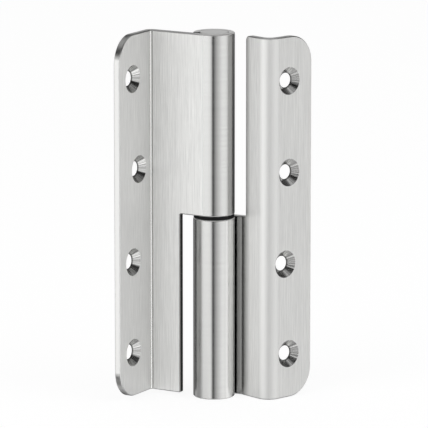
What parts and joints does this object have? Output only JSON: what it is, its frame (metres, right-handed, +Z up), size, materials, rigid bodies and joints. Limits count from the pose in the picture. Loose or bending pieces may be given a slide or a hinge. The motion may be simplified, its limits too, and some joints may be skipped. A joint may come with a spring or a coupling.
{
  "type": "lift-off leaf hinge",
  "caption": "Lift-off hinge: bent leaves of brushed sheet steel roll into knuckles around an upright pin, with a dark bearing ring between them and countersunk screw holes down each flap.",
  "frame": {"origin": "pin axis at the foot of the lower knuckle", "axes": "+Z up along the pin, +Y out of the back of the frame leaf's flap, +X from the pin towards that flap's outer edge"},
  "size_m": [0.077, 0.0493, 0.16],
  "materials": {
    "leaf_steel": "brushed along the height",
    "pin_steel": "turned",
    "ring_polymer": "matt"
  },
  "bodies": {
    "frame": {"frame_leaf": "leaf_steel", "hinge_pin": "pin_steel"},
    "ring": {"bearing_ring": "ring_polymer"},
    "door": {"door_leaf": "leaf_steel", "top_plug": "pin_steel"}
  },
  "joints": [
    {"name": "swing", "type": "hinge", "parent": "frame", "child": "ring", "pos_m": [0, 0, 0.07925], "axis": [0, 0, 1], "range_deg": [-17.5, 162.5]},
    {"name": "lift", "type": "slide", "parent": "ring", "child": "door", "axis": [0, 0, 1], "range_m": [0, 0.06]}
  ]
}
